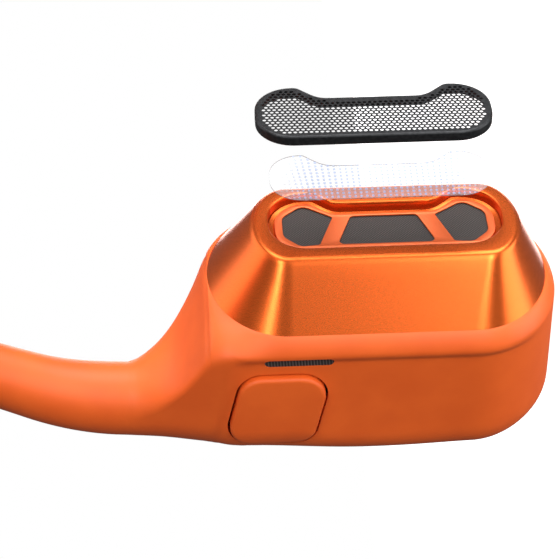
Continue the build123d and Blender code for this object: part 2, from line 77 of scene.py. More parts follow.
CAP_LENGTH, CAP_WIDTH, CAP_END, CAP_HEIGHT = 23.2, 10.35, 3.05, 5.4
BASE_LENGTH, BASE_WIDTH, BASE_END = 29.9, 17.7, 6.95
RIM_ROUND = 0.5
RECESS_LENGTH, RECESS_WIDTH, RECESS_CORNER, RECESS_DEPTH, RECESS_SHIFT = 20.4, 7.85, 3.4, 1.0, 0.4
NOTCH_DEPTH, NOTCH_INNER, NOTCH_OUTER, NOTCH_LOBE, NOTCH_DIP = 1.65, 4.4, 6.2, 1.0, 1.8
SMALLEST_RADIUS, RECESS_BEVEL = 0.15, 0.14
CAP_WALL, DECK, MESH_BORDER = 0.9, 2.0, 1.0
GRILLE_GAP, GRILLE_THICK, GRILLE_WALL, GRILLE_SKIRT, GRILLE_FOLD = 0.22, 0.3, 0.3, 0.9, 0.2
SHEET_THICK = 0.06
MEMBRANE_INSET, MEMBRANE_SEAT, FILM_THICK = 0.7, -0.6, 0.1
DOT_PITCH, DOT_REACH = 0.5, 9.0
HOLE_PITCH, HOLE_ROW, HOLE_RADIUS, HOLE_BORDER, HOLE_SIDES = 0.45, 0.372, 0.172, 0.4, 8
PLATE_INSET, PLATE_TOP, PLATE_THICK, MESH_INSET = 0.56, -0.75, 0.18, 0.75
WINDOW_FRONT, WINDOW_REAR, WINDOW_DEPTH, WINDOW_CENTRE = 8.6, 5.8, 4.0, -0.2
SIDE_WINDOW = [(-4.5, 1.7), (-7.1, 3.5), (-8.95, 1.9), (-8.95, -0.9), (-7.5, -2.35), (-5.85, -2.2)]
SIDE_RADII = [0.25, 0.9, 1.3, 1.3, 0.8, 0.3]

SLEEVE_LENGTH, SLEEVE_WIDTH, SLEEVE_END = 31.8, 19.7, 7.9
SLEEVE_BOTTOM = -19.8
SHOULDER_CURVE = 1.35
SIDE_ROUND, END_ROUND = 4.0, 3.7      # lower edge of the skin along its sides and at its free end
NECK_V, NECK_RADIUS, NECK_THICK, HOOK_RADIUS, NECK_U = -3.5, 3.05, 3.3, 2.8, -23.0
HOOK_START, RISE_RADIUS, RISE_TURN, RISE_LENGTH, EAR_RADIUS = -22.0, 22.0, 25.0, 12.0, 20.0
NECK_BLEND = (12.8, 20.0)    # where a section's points even out, along -u
HOUSING_TURN = 135.0         # how far the hook turns before it meets the control housing
CAP_LINE_FREE, CAP_LINE_HOOK = 7.3, -8.7     # where the cap line's straight sides end
SIDE_FOOT = -15.1            # where the flat of a side starts to round under
PANEL_DEPTH, PANEL_TOP, PANEL_LEFT, PANEL_LEAN = 0.3, -7.15, -13.9, 0.25
PANEL_END, PANEL_FOOT = (10.0, 14.2), (15.5, 18.5)      # where the panel fades, along u and down w

SLOT_U, SLOT_W, SLOT_LENGTH, SLOT_HEIGHT, SLOT_BORDER = -8.03, -7.77, 6.0, 0.95, 0.2
SLOT_MESH = (0.4, 0.7)       # depths of the two faces of the cloth in the slot
BUTTON_U, BUTTON_W, BUTTON_LENGTH, BUTTON_HEIGHT, BUTTON_SHEAR = -9.9, -13.2, 7.7, 7.9, 1.7
BUTTON_CORNER, BUTTON_PROUD, BUTTON_GAP, BUTTON_ROUND, BUTTON_THICK = 2.2, 0.55, 0.22, 0.35, 1.4

SKIN_WALL = 1.0
PAD_U, PAD_W, PAD_LENGTH, PAD_HEIGHT, PAD_CORNER = 2.2, -11.4, 15.2, 7.0, 3.3
PAD_GAP, PAD_PROUD, PAD_THICK, PAD_CROWN, PAD_EDGE = 0.4, 0.35, 1.9, 0.2, 0.8

HOUSING_LENGTH, HOUSING_HEIGHT, HOUSING_THICK, HOUSING_CORNER, HOUSING_EDGE = 34.0, 13.0, 11.0, 6.0, 3.2
HOUSING_WALL, HOUSING_SLOPE = 1.2, 50.0
KEY_LENGTH, KEY_HEIGHT, KEY_CORNER, KEY_SPACING = 6.4, 4.6, 1.6, 8.0
KEY_PROUD, KEY_GAP, KEY_EDGE, KEY_THICK = 0.5, 0.25, 0.4, 2.2
DOCK_LENGTH, DOCK_HEIGHT, DOCK_DEPTH, CONTACT_RADIUS, CONTACT_SPACING = 12.0, 4.6, 0.5, 0.9, 4.4
LIGHT_RADIUS, LIGHT_ALONG = 0.6, -12.4

BAND_RADIUS, BAND_BEND, BAND_TILT, BAND_SIDE, BAND_STRAIGHT = 1.9, 14.0, 32.0, 41.5, 14.58
BAND_FLARE = [0.55, 0.55, 0.55, 0.5, 0.42, 0.33, 0.25, 0.18, 0.12, 0.07, 0.03]   # swelling at a housing
CORE_RADIUS = 0.95
FLEX_HALF = 12.0             # half the length of band that bends

FOCAL, FRAME_PIXELS, VIEW_DISTANCE = 2250.0, 559, 195.65
VIEW_TURN, VIEW_DIP = 2.4, 38.7
CAP_PIXEL = (106.0, 59.5)
ROOM_LIGHT, FLOOR_SIZE = 0.14, 1.6   # strength of the world's light; metres
# name, azimuth, elevation, distance, width, height, watts
LIGHTS = [
    ("overhead_box", 5, 70, 0.45, 0.5, 0.3, 3.2),
    ("left_strip", -30, 12, 0.45, 0.05, 0.35, 1.0),
    ("right_strip", 18, 12, 0.45, 0.05, 0.35, 1.1),
    ("right_box", 78, 12, 0.45, 0.35, 0.4, 1.7),
    ("left_box", -95, 25, 0.45, 0.3, 0.4, 0.7),
    ("far_box", 175, 25, 0.55, 0.4, 0.4, 2.2),
]


# ---- small tools ----

def deselect():
    if bpy.context.mode != "OBJECT":
        bpy.ops.object.mode_set(mode="OBJECT")
    bpy.ops.object.select_all(action="DESELECT")


def pick(obj):
    """Only this object selected, and active."""
    deselect()
    bpy.context.view_layer.objects.active = obj
    obj.select_set(True)


def edit(obj):
    """Edit one piece with nothing in it selected."""
    pick(obj)
    bpy.ops.object.mode_set(mode="EDIT")
    bpy.ops.mesh.select_all(action="DESELECT")


def done(obj):
    bpy.ops.object.mode_set(mode="OBJECT")
    return obj


def named(name, material):
    """The active object becomes a named piece with one finish."""
    obj = bpy.context.object
    obj.name = name
    obj.data.name = name
    obj.data.materials.clear()
    obj.data.materials.append(material)
    return obj


def settle(obj, matrix=None):
    """Bake a placement into the mesh, so the object itself stays at the origin."""
    pick(obj)
    if matrix is not None:
        obj.matrix_world = matrix @ obj.matrix_world
    bpy.ops.object.transform_apply(location=True, rotation=True, scale=True)
    return obj


def outward(obj):
    """Faces of a closed mesh turned outwards."""
    edit(obj)
    bpy.ops.mesh.select_all(action="SELECT")
    bpy.ops.mesh.remove_doubles(threshold=MERGE)
    bpy.ops.mesh.normals_make_consistent(inside=False)
    return done(obj)


def smooth(obj, angle=40):
    pick(obj)
    bpy.ops.object.shade_smooth_by_angle(angle=radians(angle))
    return obj


def modify(obj, kind, **values):
    """Add a modifier and apply it at once."""
    pick(obj)
    modifier = obj.modifiers.new(kind.title(), kind)
    for key, value in values.items():
        setattr(modifier, key, value)
    bpy.ops.object.modifier_apply(modifier=modifier.name)
    return obj


def cut(obj, tool):
    """Carve one piece with another and throw the tool away."""
    modify(obj, "BOOLEAN", operation="DIFFERENCE", object=tool, solver="EXACT")
    bpy.data.objects.remove(tool)
    return obj


def carve(obj, outline, low, high, place):
    """Cut an outline out of a piece between two heights."""
    return cut(obj, ringed("carving_tool", SILICONE, [(outline, low), (outline, high)], place, (True, True)))


def duplicate(obj, name):
    """A copy with its own mesh."""
    twin = obj.copy()
    twin.data = obj.data.copy()
    twin.name = name
    twin.data.name = name
    bpy.context.collection.objects.link(twin)
    return twin


def mirrored(obj, name):
    """A right-hand copy of a left-hand piece."""
    twin = duplicate(obj, name)
    settle(twin, MIRROR)
    edit(twin)
    bpy.ops.mesh.select_all(action="SELECT")
    bpy.ops.mesh.flip_normals()
    return done(twin)


def woven_grid(name, material, rows, columns, place):
    """A grid primitive laid over a surface: place(row, column) gives each point. Columns wrap round."""
    bpy.ops.mesh.primitive_grid_add(x_subdivisions=columns, y_subdivisions=rows - 1, size=1)
    obj = named(name, material)
    points = obj.data.vertices
    for row in range(rows):
        for column in range(columns + 1):
            points[row * (columns + 1) + column].co = place(row, column % columns)
    return outward(obj)


# ---- outlines, in millimetres ----

SIDE_STEPS, END_STEPS = 66, 30       # points along a straight side and round an end


def stadium(length, width, end, shift=0.0):
    """Front side, free end, cheek side, hook end: straight sides and half-ellipse ends."""
    near, far, half = end - length / 2, length / 2 - end, width / 2
    front = [(near + (far - near) * step / SIDE_STEPS, -half) for step in range(SIDE_STEPS)]
    right = [
        (far + end * sin(pi * step / END_STEPS), -half * cos(pi * step / END_STEPS))
        for step in range(END_STEPS)
    ]
    rear = [(far - (far - near) * step / SIDE_STEPS, half) for step in range(SIDE_STEPS)]
    left = [
        (near - end * sin(pi * step / END_STEPS), half * cos(pi * step / END_STEPS))
        for step in range(END_STEPS)
    ]
    return [(x + shift, y) for x, y in front + right + rear + left]


def corner_arcs(points, radii, steps):
    """Each corner of a polygon as a short arc of points."""
    arcs = []
    for number, (corner, radius) in enumerate(zip(points, radii)):
        here = Vector(corner)
        back = (Vector(points[number - 1]) - here).normalized()
        ahead = (Vector(points[(number + 1) % len(points)]) - here).normalized()
        half = back.angle(ahead) / 2
        centre = here + (back + ahead).normalized() * radius / sin(half)
        start = here + back * radius / tan(half) - centre
        end = here + ahead * radius / tan(half) - centre
        sweep = start.angle_signed(end)
        arcs.append([
            centre + Matrix.Rotation(-sweep * step / steps, 2) @ start for step in range(steps + 1)
        ])
    return arcs


def spaced(points, count):
    """Points an even distance apart along a line, without its last one."""
    lengths = [0.0]
    for first, second in zip(points, points[1:]):
        lengths.append(lengths[-1] + (Vector(second) - Vector(first)).length)
    found, span = [], 0
    for step in range(count):
        target = lengths[-1] * step / count
        while lengths[span + 1] < target:
            span += 1
        share = (target - lengths[span]) / max(lengths[span + 1] - lengths[span], 1e-9)
        found.append(Vector(points[span]).lerp(Vector(points[span + 1]), share))
    return found


def notched(inset=0.0):
    """The recess outline drawn in by an inset, run by run like the stadium."""
    x, y = RECESS_LENGTH / 2 - inset, RECESS_WIDTH / 2 - inset
    half_turn = tan(atan2(NOTCH_DEPTH, NOTCH_OUTER - NOTCH_INNER) / 2)
    inner, outer, floor = NOTCH_INNER + inset * half_turn, NOTCH_OUTER + inset * half_turn, y - NOTCH_DEPTH
    points = [(-x, -y), (x, -y), (x, y), (outer, y), (inner, floor), (-inner, floor), (-outer, y), (-x, y)]
    lobe = max(NOTCH_LOBE - inset, SMALLEST_RADIUS)
    corner = min(RECESS_CORNER - inset, x - outer - lobe * half_turn - SMALLEST_RADIUS)
    dip = NOTCH_DIP + inset
    arcs = corner_arcs(points, [corner, corner, corner, lobe, dip, dip, lobe, corner], 14)
    front = spaced([arcs[0][-1], arcs[1][0]], SIDE_STEPS)
    right = spaced(arcs[1] + arcs[2], END_STEPS)
    rear = spaced([arcs[2][-1]] + arcs[3] + arcs[4] + arcs[5] + arcs[6] + [arcs[7][0]], SIDE_STEPS)
    left = spaced(arcs[7] + arcs[0], END_STEPS)
    return [(point[0], point[1] + RECESS_SHIFT) for point in front + right + rear + left]


def rounded(points, radii, steps=8):
    return [(point[0], point[1]) for arc in corner_arcs(points, radii, steps) for point in arc]


def inside(point, outline):
    """Whether a point is inside an outline."""
    x, y = point
    found = False
    for (ax, ay), (bx, by) in zip(outline, outline[1:] + outline[:1]):
        if (ay > y) != (by > y) and x < (bx - ax) * (y - ay) / (by - ay) + ax:
            found = not found
    return found


def between(first, second, share):
    return [(ax + (bx - ax) * share, ay + (by - ay) * share) for (ax, ay), (bx, by) in zip(first, second)]


# ---- piece makers ----

def ringed(name, material, rings, place=None, close=(False, False)):
    """A closed skin drawn through rings of (outline, height); place turns (x, y, height) into metres."""
    count = len(rings[0][0])

    def spot(row, column):
        (x, y), height = rings[row][0][column], rings[row][1]
        return place(x, y, height) if place else Vector((x, y, height)) * MM

    obj = woven_grid(name, material, len(rings), count, spot)
    for wanted, row in zip(close, (0, len(rings) - 1)):
        if wanted:
            fill_ring(obj, [spot(row, column) for column in range(count)])
    return outward(obj)


def fill_ring(obj, places):
    """Close the open ring of edges that runs through these places."""
    edit(obj)
    done(obj)
    wanted = {tuple(round(value, 7) for value in place) for place in places}
    for vertex in obj.data.vertices:
        vertex.select = tuple(round(value, 7) for value in vertex.co) in wanted
    edit_keeping(obj)
    bpy.ops.mesh.edge_face_add()
    return done(obj)


def edit_keeping(obj):
    """Edit mode with the vertices chosen in object mode still selected."""
    bpy.context.view_layer.objects.active = obj
    bpy.context.tool_settings.mesh_select_mode = (True, False, False)
    bpy.ops.object.mode_set(mode="EDIT")


def flat_plate(name, material, outlines, low, high, bevel=0.0):
    """A flat curve, its first outline cut by the others, made a plate between two heights."""
    curve = bpy.data.curves.new(name, "CURVE")
    curve.dimensions = "2D"
    curve.fill_mode = "BOTH"
    for outline in outlines:
        spline = curve.splines.new("POLY")
        spline.points.add(len(outline) - 1)
        for point, (x, y) in zip(spline.points, outline):
            point.co = (x * MM, y * MM, 0, 1)
        spline.use_cyclic_u = True
    curve.extrude = ((high - low) / 2 - bevel) * MM
    curve.bevel_depth = bevel * MM
    curve.bevel_resolution = 1
    curve.offset = -bevel * MM
    obj = bpy.data.objects.new(name, curve)
    bpy.context.collection.objects.link(obj)
    pick(obj)
    bpy.ops.object.convert(target="MESH")
    named(name, material)
    obj.location.z = (low + high) / 2 * MM
    settle(obj)
    return outward(obj)


def joined(first, *others):
    deselect()
    for other in others:
        other.select_set(True)
    first.select_set(True)
    bpy.context.view_layer.objects.active = first
    bpy.ops.object.join()
    return first


def lifted(obj, name, joint):
    """A copy moved out as far as its joint goes."""
    twin = duplicate(obj, name)
    way = Vector(joints[joint]["axis"]).normalized()
    return settle(twin, Matrix.Translation(way * max(abs(end) for end in joints[joint]["range_m"])))


def tube(name, material, points, radius, sides=28, close=(True, True)):
    """A round tube along a line of points, in metres, its rings carried along without twist."""
    count = len(points)
    headings = [(points[min(i + 1, count - 1)] - points[max(i - 1, 0)]).normalized() for i in range(count)]
    across = headings[0].orthogonal().normalized()
    frames = []
    for heading in headings:
        across = (across - heading * across.dot(heading)).normalized()
        frames.append((across.copy(), heading.cross(across)))
    radii = radius if isinstance(radius, list) else [radius] * count

    def spot(row, column):
        angle = 2 * pi * column / sides
        one, other = frames[row]
        return points[row] + (one * cos(angle) + other * sin(angle)) * radii[row] * MM

    obj = woven_grid(name, material, count, sides, spot)
    for wanted, row in zip(close, (0, count - 1)):
        if wanted:
            fill_ring(obj, [spot(row, column) for column in range(sides)])
    return outward(obj)


def eased(keys, at):
    """Smooth value between (place, value) keys, places falling."""
    if at >= keys[0][0]:
        return keys[0][1]
    if at <= keys[-1][0]:
        return keys[-1][1]
    slopes = []
    for number in range(len(keys)):
        before, after = keys[max(number - 1, 0)], keys[min(number + 1, len(keys) - 1)]
        slopes.append((after[1] - before[1]) / (after[0] - before[0]))
    slopes[0] = 0.0
    number = next(i for i in range(len(keys) - 1) if keys[i + 1][0] <= at)
    (a, va), (b, vb) = keys[number], keys[number + 1]
    step = b - a
    t = (at - a) / step
    return (
        (2 * t ** 3 - 3 * t ** 2 + 1) * va + (t ** 3 - 2 * t ** 2 + t) * step * slopes[number]
        + (3 * t ** 2 - 2 * t ** 3) * vb + (t ** 3 - t ** 2) * step * slopes[number + 1]
    )


def soft_step(low, high, value):
    share = min(max((value - low) / (high - low), 0.0), 1.0)
    return share * share * (3 - 2 * share)


# ---- finishes ----

def linear(red, green, blue):
    """An sRGB colour, 0 to 255, as the linear one the shaders take."""
    return tuple(
        value / 255 / 12.92 if value <= 10 else ((value / 255 + 0.055) / 1.055) ** 2.4
        for value in (red, green, blue)
    ) + (1.0,)


def finish(name, colour, roughness, metallic=0.0, **sockets):
    """A new material: its shader and its node tree."""
    material = bpy.data.materials.new(name)
    material.use_nodes = True
    shader = material.node_tree.nodes["Principled BSDF"]
    shader.inputs["Base Color"].default_value = colour
    shader.inputs["Roughness"].default_value = roughness
    shader.inputs["Metallic"].default_value = metallic
    for socket, value in sockets.items():
        shader.inputs[socket.replace("_", " ")].default_value = value
    return material, shader, material.node_tree


def noise(tree, scale, detail=3.0, roughness=0.5, stretch=(1, 1, 1)):
    """Noise on the piece's own coordinates; the scale counts lumps in a millimetre."""
    place = tree.nodes.new("ShaderNodeTexCoord")
    mapping = tree.nodes.new("ShaderNodeMapping")
    mapping.inputs["Scale"].default_value = [1000 * value for value in stretch]
    texture = tree.nodes.new("ShaderNodeTexNoise")
    texture.inputs["Scale"].default_value = scale
    texture.inputs["Detail"].default_value = detail
    texture.inputs["Roughness"].default_value = roughness
    tree.links.new(place.outputs["Object"], mapping.inputs["Vector"])
    tree.links.new(mapping.outputs["Vector"], texture.inputs["Vector"])
    return texture.outputs["Fac"]


def tinted(tree, shader, factor, low, high, start=0.35, end=0.65):
    """Base colour that drifts between two near colours."""
    ramp = tree.nodes.new("ShaderNodeValToRGB")
    ramp.color_ramp.elements[0].position, ramp.color_ramp.elements[1].position = start, end
    ramp.color_ramp.elements[0].color, ramp.color_ramp.elements[1].color = low, high
    tree.links.new(factor, ramp.inputs["Fac"])
    tree.links.new(ramp.outputs["Color"], shader.inputs["Base Color"])


def varied(tree, shader, factor, low, high):
    """Roughness that drifts between two values."""
    span = tree.nodes.new("ShaderNodeMapRange")
    span.inputs["To Min"].default_value = low
    span.inputs["To Max"].default_value = high
    tree.links.new(factor, span.inputs["Value"])
    tree.links.new(span.outputs["Result"], shader.inputs["Roughness"])


def bumped(tree, shader, factor, strength, height):
    """Surface grain of a given height, in millimetres."""
    bump = tree.nodes.new("ShaderNodeBump")
    bump.inputs["Strength"].default_value = strength
    bump.inputs["Distance"].default_value = height * MM
    tree.links.new(factor, bump.inputs["Height"])
    tree.links.new(bump.outputs["Normal"], shader.inputs["Normal"])


def grained(name, low, high, roughness, metallic=0.0, scale=2.0, grain=12.0, height=0.01, **sockets):
    """A material with a slight drift of colour and roughness and a fine grain."""
    material, shader, tree = finish(name, high, roughness, metallic, **sockets)
    drift = noise(tree, scale)
    tinted(tree, shader, drift, low, high)
    varied(tree, shader, drift, roughness - 0.04, roughness + 0.04)
    bumped(tree, shader, noise(tree, grain, 2.0), 0.35, height)
    return material


SILICONE = grained(
    "moulded_silicone", linear(222, 90, 26), linear(229, 96, 29), 0.5, scale=0.25, grain=14.0, height=0.006,
    Specular_IOR_Level=0.42,
)
SATIN = grained(
    "satin_flake_paint", linear(222, 96, 34), linear(232, 104, 40), 0.28, metallic=0.85, scale=30.0,
    grain=45.0, height=0.0012,
)
PLATE_PAINT = grained(
    "satin_plate_paint", linear(212, 96, 48), linear(222, 106, 56), 0.42, metallic=0.55, scale=30.0,
    grain=40.0, height=0.0015,
)
GRILLE_BLACK = grained(
    "black_anodised_grille", linear(30, 31, 33), linear(44, 45, 47), 0.42, metallic=0.6, scale=3.0,
    grain=25.0, height=0.002,
)
PLASTIC = grained("dark_moulded_plastic", linear(26, 24, 24), linear(34, 32, 31), 0.55, grain=9.0)
STEEL = grained("brushed_steel", linear(176, 178, 182), linear(200, 202, 205), 0.3, metallic=1.0)
MAGNET_NICKEL = grained("nickel_magnet", linear(168, 166, 160), linear(190, 188, 182), 0.24, metallic=1.0)
COPPER = grained("wound_copper", linear(172, 92, 52), linear(205, 118, 72), 0.35, metallic=1.0, scale=6.0)
BOARD_GREEN = grained("circuit_board", linear(14, 62, 38), linear(20, 78, 48), 0.4, scale=5.0)
TITANIUM = grained("titanium_wire", linear(150, 146, 140), linear(170, 166, 160), 0.35, metallic=1.0)
PAD_SILICONE = grained(
    "soft_pad_silicone", linear(222, 98, 40), linear(230, 106, 44), 0.6, scale=0.4, grain=16.0, height=0.008
)
CABLE_BLACK = grained("cable_jacket", linear(28, 28, 30), linear(38, 38, 40), 0.5)
WRAP = grained("battery_wrap", linear(32, 70, 128), linear(40, 82, 144), 0.35)
GOLD = grained("gold_plating", linear(214, 170, 84), linear(232, 190, 104), 0.22, metallic=1.0)
CONE = grained("cone_film", linear(60, 60, 62), linear(74, 74, 76), 0.45)
LIGHT_PIPE = grained("light_pipe", linear(214, 216, 214), linear(228, 230, 228), 0.3)


def woven(name):
    """Fine black cloth: two crossed sets of threads."""
    material, shader, tree = finish(name, linear(52, 47, 44), 0.75)
    place = tree.nodes.new("ShaderNodeTexCoord")
    waves = []
    for turn in (45, -45):
        mapping = tree.nodes.new("ShaderNodeMapping")
        mapping.inputs["Rotation"].default_value = (0, radians(turn), 0)
        mapping.inputs["Scale"].default_value = (1000, 1000, 1000)
        wave = tree.nodes.new("ShaderNodeTexWave")
        wave.bands_direction = "Z"
        wave.inputs["Scale"].default_value = 1.7
        wave.inputs["Distortion"].default_value = 0.0
        tree.links.new(place.outputs["Object"], mapping.inputs["Vector"])
        tree.links.new(mapping.outputs["Vector"], wave.inputs["Vector"])
        waves.append(wave.outputs["Fac"])
    crossed = maths(tree, "MULTIPLY", *waves)
    tinted(tree, shader, crossed, linear(24, 21, 20), linear(86, 78, 74), 0.15, 0.75)
    bumped(tree, shader, crossed, 0.6, 0.02)
    return material


def clear_film(name, colour, opacity, dots=False):
    """Thin clear film, almost all see-through, with a print of tiny dots over its middle."""
    material, shader, tree = finish(name, colour, 0.16)
    shader.inputs["Alpha"].default_value = opacity
    if dots:
        place = tree.nodes.new("ShaderNodeTexCoord")
        apart = tree.nodes.new("ShaderNodeSeparateXYZ")
        tree.links.new(place.outputs["Object"], apart.inputs["Vector"])
        dotted = dot_print(tree, apart)
        lift = tree.nodes.new("ShaderNodeMapRange")
        lift.inputs["To Min"].default_value = opacity
        lift.inputs["To Max"].default_value = 0.62
        tree.links.new(dotted, lift.inputs["Value"])
        tree.links.new(lift.outputs["Result"], shader.inputs["Alpha"])
        tinted(tree, shader, dotted, colour, linear(168, 186, 226), 0.2, 0.7)
    return material


def maths(tree, operation, first, second=None):
    node = tree.nodes.new("ShaderNodeMath")
    node.operation = operation
    for number, value in enumerate((first, second)):
        if value is None:
            continue
        if isinstance(value, (int, float)):
            node.inputs[number].default_value = value
        else:
            tree.links.new(value, node.inputs[number])
    return node.outputs["Value"]


def dot_print(tree, apart):
    """Dots in rows along the film, their columns leaning outwards near its ends."""
    height = apart.outputs["Z"]                      # the film runs nearly along the headset's Z
    along = maths(tree, "MULTIPLY", maths(tree, "SUBTRACT", height, POD_ORIGIN.z), 1000.0)
    across_film = maths(tree, "MULTIPLY", maths(tree, "SUBTRACT", apart.outputs["X"], POD_ORIGIN.x), 1000.0)
    lean = maths(tree, "MULTIPLY", maths(tree, "POWER", maths(tree, "ABSOLUTE", along), 3.0), 0.0006)
    lean = maths(tree, "MULTIPLY", maths(tree, "MULTIPLY", lean, maths(tree, "SIGN", along)), across_film)
    column = maths(tree, "ADD", along, maths(tree, "MULTIPLY", lean, 0.5))
    column_wave = maths(tree, "COSINE", maths(tree, "MULTIPLY", column, 2 * pi / DOT_PITCH))
    row_wave = maths(tree, "COSINE", maths(tree, "MULTIPLY", across_film, 2 * pi / DOT_PITCH))
    both = maths(tree, "ADD", column_wave, row_wave)
    dot = maths(tree, "MULTIPLY", maths(tree, "SUBTRACT", both, 0.7), 1.2)
    fade = tree.nodes.new("ShaderNodeMapRange")
    fade.inputs["From Min"].default_value = DOT_REACH
    fade.inputs["From Max"].default_value = DOT_REACH - 3.0
    tree.links.new(maths(tree, "ABSOLUTE", along), fade.inputs["Value"])
    clamp = tree.nodes.new("ShaderNodeClamp")
    tree.links.new(maths(tree, "MULTIPLY", dot, fade.outputs["Result"]), clamp.inputs["Value"])
    return clamp.outputs["Result"]


WOVEN = woven("woven_acoustic_mesh")
FILM = clear_film("clear_film", linear(232, 234, 238), 0.13, dots=True)
# Painted shade: the film's edge faces get a grey, nearly opaque finish that stands in for the dark line light
# makes along a clear edge.
FILM_EDGE_SHADE = clear_film("film_edge_painted_shade", linear(150, 152, 156), 0.75)

NODE_FINISH = {
    "speaker_basket": PLASTIC, "speaker_magnet": MAGNET_NICKEL, "speaker_cone": CONE, "pod_chassis": PLASTIC,
    "transducer_yoke": STEEL, "transducer_magnet": MAGNET_NICKEL, "voice_coil": COPPER, "spring_plate": STEEL,
    "vibration_plate": STEEL, "microphone": STEEL, "call_switch_board": BOARD_GREEN, "acoustic_mesh": WOVEN,
    "hook_wire": TITANIUM, "hook_cable": CABLE_BLACK, "battery": WRAP, "main_board": BOARD_GREEN,
    "board_screws": STEEL, "volume_switches": STEEL, "status_light": LIGHT_PIPE, "charge_contacts": GOLD,
    "dock_magnet": MAGNET_NICKEL,
}
for node_name, node in nodes.items():
    plain = node_name.removeprefix("left_").removeprefix("right_")
    node.data.materials.clear()
    node.data.materials.append(NODE_FINISH.get(plain, SILICONE))


# ---- cap: tapered ring with a rounded rim, the notched recess and its ledge ----

def place_pod(x, y, height):
    """Pod coordinates in millimetres to metres in the row frame."""
    return POD @ Vector((x * MM, y * MM, height * MM))


def cap_rings():
    base = stadium(BASE_LENGTH, BASE_WIDTH, BASE_END, BASE_SHIFT)
    rim = stadium(CAP_LENGTH, CAP_WIDTH, CAP_END)
    share = RIM_ROUND / CAP_HEIGHT
    below = between(rim, base, share)
    above = stadium(CAP_LENGTH - 2 * RIM_ROUND, CAP_WIDTH - 2 * RIM_ROUND, CAP_END - RIM_ROUND)
    rise = CAP_HEIGHT - RIM_ROUND
    rings = [(between(base, below, step / 5), step / 5 * rise - CAP_HEIGHT) for step in range(5)]
    for step in range(8):
        t = step / 7
        first, last = between(below, rim, t), between(rim, above, t)
        rings.append((between(first, last, t), -RIM_ROUND * (1 - t) ** 2))
    lip = notched(-RECESS_BEVEL)
    rings.append((between(above, lip, 0.45), 0.0))
    for step in range(5):
        angle = pi / 2 * step / 4
        rings.append((notched(-RECESS_BEVEL * (1 - sin(angle))), -RECESS_BEVEL * (1 - cos(angle))))
    for depth in (0.4, 0.8, 1.15):
        rings.append((notched(), -depth))
    rings += [(notched(0.04), -RECESS_DEPTH + 0.06), (notched(0.12), -RECESS_DEPTH)]
    opening = notched(PLATE_INSET + MESH_BORDER)
    rings += [(opening, -RECESS_DEPTH), (opening, -DECK)]
    deck_share = DECK / CAP_HEIGHT
    deck_rim = stadium(
        CAP_LENGTH + (BASE_LENGTH - CAP_LENGTH) * deck_share - 2 * CAP_WALL,
        CAP_WIDTH + (BASE_WIDTH - CAP_WIDTH) * deck_share - 2 * CAP_WALL,
        CAP_END + (BASE_END - CAP_END) * deck_share - CAP_WALL, BASE_SHIFT * deck_share,
    )
    rings.append((deck_rim, -DECK))
    rings.append((
        stadium(BASE_LENGTH - 2 * CAP_WALL, BASE_WIDTH - 2 * CAP_WALL, BASE_END - CAP_WALL, BASE_SHIFT),
        -CAP_HEIGHT,
    ))
    rings.append(rings[0])
    return rings


left_cap = smooth(ringed("left_cap_shell", SATIN, cap_rings(), place_pod), 50)

# ---- baffle plate with its three windows ----

low_window, high_window = WINDOW_CENTRE - WINDOW_DEPTH / 2, WINDOW_CENTRE + WINDOW_DEPTH / 2
middle_window = rounded([
    (-WINDOW_FRONT / 2, low_window), (WINDOW_FRONT / 2, low_window),
    (WINDOW_REAR / 2, high_window), (-WINDOW_REAR / 2, high_window),
], [0.45] * 4)
side_window = rounded(SIDE_WINDOW, SIDE_RADII)
other_window = [(-x, y) for x, y in reversed(side_window)]
left_plate = flat_plate(
    "left_window_plate", PLATE_PAINT, [notched(PLATE_INSET), middle_window, side_window, other_window],
    PLATE_TOP - PLATE_THICK, PLATE_TOP, 0.07,
)
settle(smooth(left_plate, 35), POD)
left_mesh = flat_plate(
    "left_woven_mesh", WOVEN, [notched(MESH_INSET)], 0.01 - RECESS_DEPTH, 0.05 - RECESS_DEPTH
)
settle(left_mesh, POD)

# ---- grille: a perforated sheet in a folded rim ----

grille_outline = notched(GRILLE_GAP + GRILLE_FOLD)
hole_field = notched(GRILLE_GAP + HOLE_BORDER + HOLE_RADIUS)
holes = []
rows = int(RECESS_WIDTH / 2 / HOLE_ROW)
columns = int(RECESS_LENGTH / 2 / HOLE_PITCH)
for row in range(-rows, rows + 1):
    for column in range(-columns, columns + 1):
        centre = ((column + 0.5 * (row % 2)) * HOLE_PITCH, row * HOLE_ROW + RECESS_SHIFT)
        if inside(centre, hole_field):
            holes.append([
                (centre[0] + HOLE_RADIUS * cos(2 * pi * side / HOLE_SIDES),
                 centre[1] + HOLE_RADIUS * sin(2 * pi * side / HOLE_SIDES))
                for side in range(HOLE_SIDES)
            ])
sheet = flat_plate("left_grille_sheet", GRILLE_BLACK, [grille_outline] + holes, -SHEET_THICK, 0)
settle(sheet, POD)


def grille_rim():
    wall = GRILLE_GAP + GRILLE_WALL
    rings = [(notched(GRILLE_GAP + GRILLE_FOLD * (1 - sin(a))), -GRILLE_FOLD * (1 - cos(a)))
             for a in (0, pi / 8, pi / 4, 3 * pi / 8, pi / 2)]
    rings += [(notched(GRILLE_GAP), -GRILLE_SKIRT + 0.05), (notched(GRILLE_GAP + 0.05), -GRILLE_SKIRT)]
    rings += [(notched(wall), -GRILLE_SKIRT), (notched(wall), -GRILLE_THICK)]
    rings += [(notched(GRILLE_GAP + GRILLE_FOLD), -GRILLE_THICK), rings[0]]
    return rings


rim = ringed("left_grille_rim", GRILLE_BLACK, grille_rim(), place_pod)
right_grille = joined(rim, sheet)
smooth(right_grille, 40)
left_grille = lifted(right_grille, "left_perforated_grille", "grille_lift")

# ---- film under the grille ----

